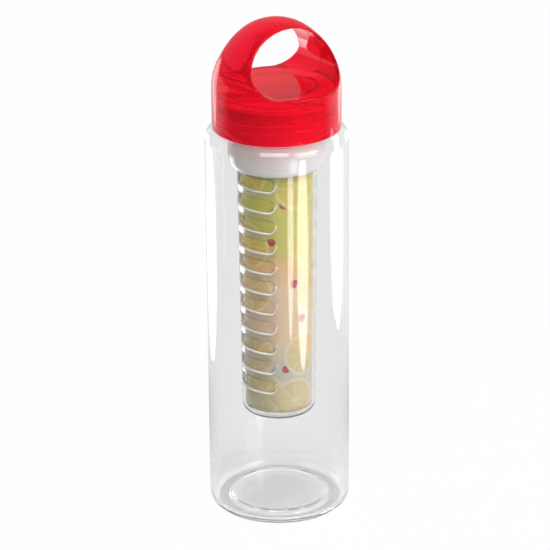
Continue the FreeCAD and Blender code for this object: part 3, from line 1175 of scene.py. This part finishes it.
def studio_mask(tree):
    """Masks for rays that see the stage straight, see it through glass, mirror it, or light things inside."""
    path = tree.node("ShaderNodeLightPath")
    straight = tree.other(path, "Diffuse Depth").under(0.5)
    bent = tree.other(path, "Is Transmission Ray")
    mirrored = tree.other(path, "Is Glossy Ray") * (1 - bent)
    return path, bent * straight, mirrored, bent * (1 - straight)


def behind(tree, place, near, far):
    """Zero on the camera's side of the bottle and one on its far side, where the studio is white."""
    return tree.smooth(tree.reach(place, -direction(CAMERA_AZIMUTH, 0)), near, far)


def floor_material(gloss):
    """White where it is looked at, with a share of its own matt shade, so that the object's shadow stays."""
    material, tree = new_material("pale_floor")
    seen, through, mirrored = studio_mask(tree)[:3]
    place = tree.place("Object")
    radius = tree.node("ShaderNodeVectorMath", {"operation": "LENGTH"}, {0: place}, output="Value")
    pale = tree.mix(tree.noise(place, 3.0), *[grey(level) for level in FLOOR_GREYS])
    # Painted shadow: seen through the glass, the floor's matt colour turns grey near the bottle's foot
    painted_shadow = through * tree.smooth(radius, *SHADOW_FADE)
    matt_shade = tree.mix(painted_shadow, pale, grey(SHADOW_GREY))
    matt = tree.node("ShaderNodeBsdfDiffuse", None, {"Color": matt_shade})
    dark = mirrored * (1 - behind(tree, place, *FLOOR_BACK)) * tree.smooth(radius, *FRONT_FADE)
    bright = tree.mix(dark, rgba(WHITE), grey(gloss))
    white = tree.node("ShaderNodeEmission", None, {"Color": bright, "Strength": 1.0})
    clear_share = through * (THROUGH_WHITE - tree.smooth(radius, *UNDER_FADE) * UNDER_SHADE)
    share = (seen * SEEN_WHITE).most(clear_share).most(mirrored * MIRRORED_WHITE)
    shown = tree.node("ShaderNodeMixShader", None, {"Fac": share, 1: matt, 2: white})
    tree.node("ShaderNodeOutputMaterial", None, {"Surface": shown})
    return material


def studio_world(fill, gloss):
    """White where it is looked at, dimmer in gloss, and an even light that is stronger from above."""
    world = bpy.data.worlds.new("studio")
    world.use_nodes = True
    tree = Tree(world.node_tree)
    seen, through, mirrored, inward = studio_mask(tree)
    place = tree.place("Generated")
    facing = tree.reach(place, CAMERA_RIGHT)
    height = tree.other(tree.node("ShaderNodeSeparateXYZ", None, {0: place}), "Z")
    level = (fill + facing * RIGHT_GAIN + height * TOP_GAIN) * (1 - inward * INWARD_SHADE)
    glossy_level = gloss + behind(tree, place, *WALLS_BACK) * BACK_GAIN
    level = level * (1 - mirrored) + mirrored * glossy_level
    seen = seen.most(through)
    shown = seen + level * (1 - seen)
    backdrop = tree.node("ShaderNodeBackground", None, {"Color": rgba(WHITE), "Strength": shown})
    tree.node("ShaderNodeOutputWorld", None, {"Surface": backdrop})
    return world


def add_floor(size, gloss):
    half = size / 2
    corners = [(-half, -half, 0), (half, -half, 0), (half, half, 0), (-half, half, 0)]
    mesh = bpy.data.meshes.new("floor")
    mesh.from_pydata(corners, [], [(0, 1, 2, 3)])
    mesh.materials.append(floor_material(gloss))
    floor = link_object("floor", mesh)


def add_light(name, shape, power, azimuth, distance, height, size):
    """An area light on a side of the camera's view that faces the bottle's axis."""
    lamp = bpy.data.lights.new(name, "AREA")
    lamp.shape = shape
    lamp.size, lamp.size_y = size
    lamp.energy = power
    light = link_object(name, lamp)
    spot = direction(CAMERA_AZIMUTH + math.radians(azimuth), 0) * distance + Vector((0, 0, height))
    aim = Vector((0, 0, min(height, LAMP_AIM_HEIGHT)))
    turn = (spot - aim).to_track_quat("Z", "Y")
    light.matrix_world = Matrix.Translation(spot) @ turn.to_matrix().to_4x4()
    return light


def add_strip(name, brightness, azimuth, distance, size, foot=0.0, through_glass=False):
    """A tall strip close to the bottle that only gloss mirrors, and that clear walls show where asked."""
    wide, high = size
    power = brightness * math.pi * math.pi / 4 * wide * high
    strip = add_light(name, "ELLIPSE", power, azimuth, distance, foot + high / 2, size)
    strip.visible_diffuse = False
    strip.visible_transmission = through_glass


def add_lights(strip, box):
    """Strips beside and before the body, weaker ones at the lid's edges, a box above and a large soft box."""
    beside, before, edges, above = strip, strip * 1.65, strip * 0.55, strip * 1.6
    add_strip("left_strip", beside, azimuth=-130, distance=0.20, size=(0.125, 0.14), through_glass=True)
    add_strip("right_strip", beside, azimuth=108, distance=0.255, size=(0.124, 0.126))
    add_strip("front_strip", before, azimuth=38, distance=0.225, size=(0.07, 0.138), through_glass=True)
    for name, azimuth in (("left_edge", -132), ("right_edge", 137)):
        add_strip(name, edges, azimuth, distance=0.20, size=(0.08, 0.11), foot=0.14)
    top_box = add_light("top_box", "RECTANGLE", above, azimuth=-5, distance=0.5, height=1.0, size=(0.6, 0.35))
    top_box.visible_diffuse = False
    add_light("soft_box", "RECTANGLE", box, azimuth=55, distance=1.1, height=1.0, size=(0.8, 0.8))


def add_camera():
    """A camera with a long lens, a little above the bottle and turned slightly about its line of sight."""
    data = bpy.data.cameras.new("camera")
    data.lens = CAMERA_LENS
    data.shift_x, data.shift_y = CAMERA_SHIFT
    camera = link_object("camera", data)
    back = direction(CAMERA_AZIMUTH, CAMERA_ELEVATION)
    up = back.cross(CAMERA_RIGHT)
    tilted_right = CAMERA_RIGHT * math.cos(CAMERA_ROLL) + up * math.sin(CAMERA_ROLL)
    tilted_up = up * math.cos(CAMERA_ROLL) - CAMERA_RIGHT * math.sin(CAMERA_ROLL)
    turn = Matrix((tilted_right, tilted_up, back)).transposed().to_4x4()
    camera.matrix_world = Matrix.Translation(CAMERA_TARGET + back * CAMERA_DISTANCE) @ turn
    return camera


class BOTTLE_OT_stage(bpy.types.Operator):
    """Set the floor, the studio light and the camera"""
    bl_idname = "bottle.stage"
    bl_label = "Stage"

    def execute(self, context):
        settings = context.scene.stage_settings
        add_floor(settings.floor_size, settings.gloss)
        context.scene.world = studio_world(settings.fill, settings.gloss)
        add_lights(settings.strip, settings.box)
        context.scene.camera = add_camera()
        context.scene.view_settings.view_transform = "Standard"
        return {"FINISHED"}


class BOTTLE_PT_pieces(bpy.types.Panel):
    bl_idname = "BOTTLE_PT_pieces"
    bl_label = "Fruit infuser bottle"
    bl_space_type = "VIEW_3D"
    bl_region_type = "UI"
    bl_category = "Bottle"

    def draw(self, context):
        for operator in OPERATORS:
            self.layout.operator(operator.bl_idname)
        for name in SETTINGS:
            group = getattr(context.scene, name)
            box = self.layout.box()
            for key in group.__annotations__:
                box.prop(group, key)


SETTINGS = {
    "bottle_settings": BottleSettings,
    "lid_settings": LidSettings,
    "infuser_settings": InfuserSettings,
    "card_settings": CardSettings,
    "stage_settings": StageSettings,
}
OPERATORS = [
    BOTTLE_OT_stage, BOTTLE_OT_body, BOTTLE_OT_lid, BOTTLE_OT_seal,
    BOTTLE_OT_collar, BOTTLE_OT_tube, BOTTLE_OT_card,
]


def register():
    for name, group in SETTINGS.items():
        bpy.utils.register_class(group)
        setattr(bpy.types.Scene, name, bpy.props.PointerProperty(type=group))
    for kind in OPERATORS + [BOTTLE_PT_pieces]:
        bpy.utils.register_class(kind)


def unregister():
    for kind in reversed(OPERATORS + [BOTTLE_PT_pieces]):
        bpy.utils.unregister_class(kind)
    for name, group in reversed(SETTINGS.items()):
        delattr(bpy.types.Scene, name)
        bpy.utils.unregister_class(group)


def main():
    register()
    for operator in OPERATORS:
        group, name = operator.bl_idname.split(".")
        getattr(getattr(bpy.ops, group), name)()


if __name__ == "__main__":
    main()
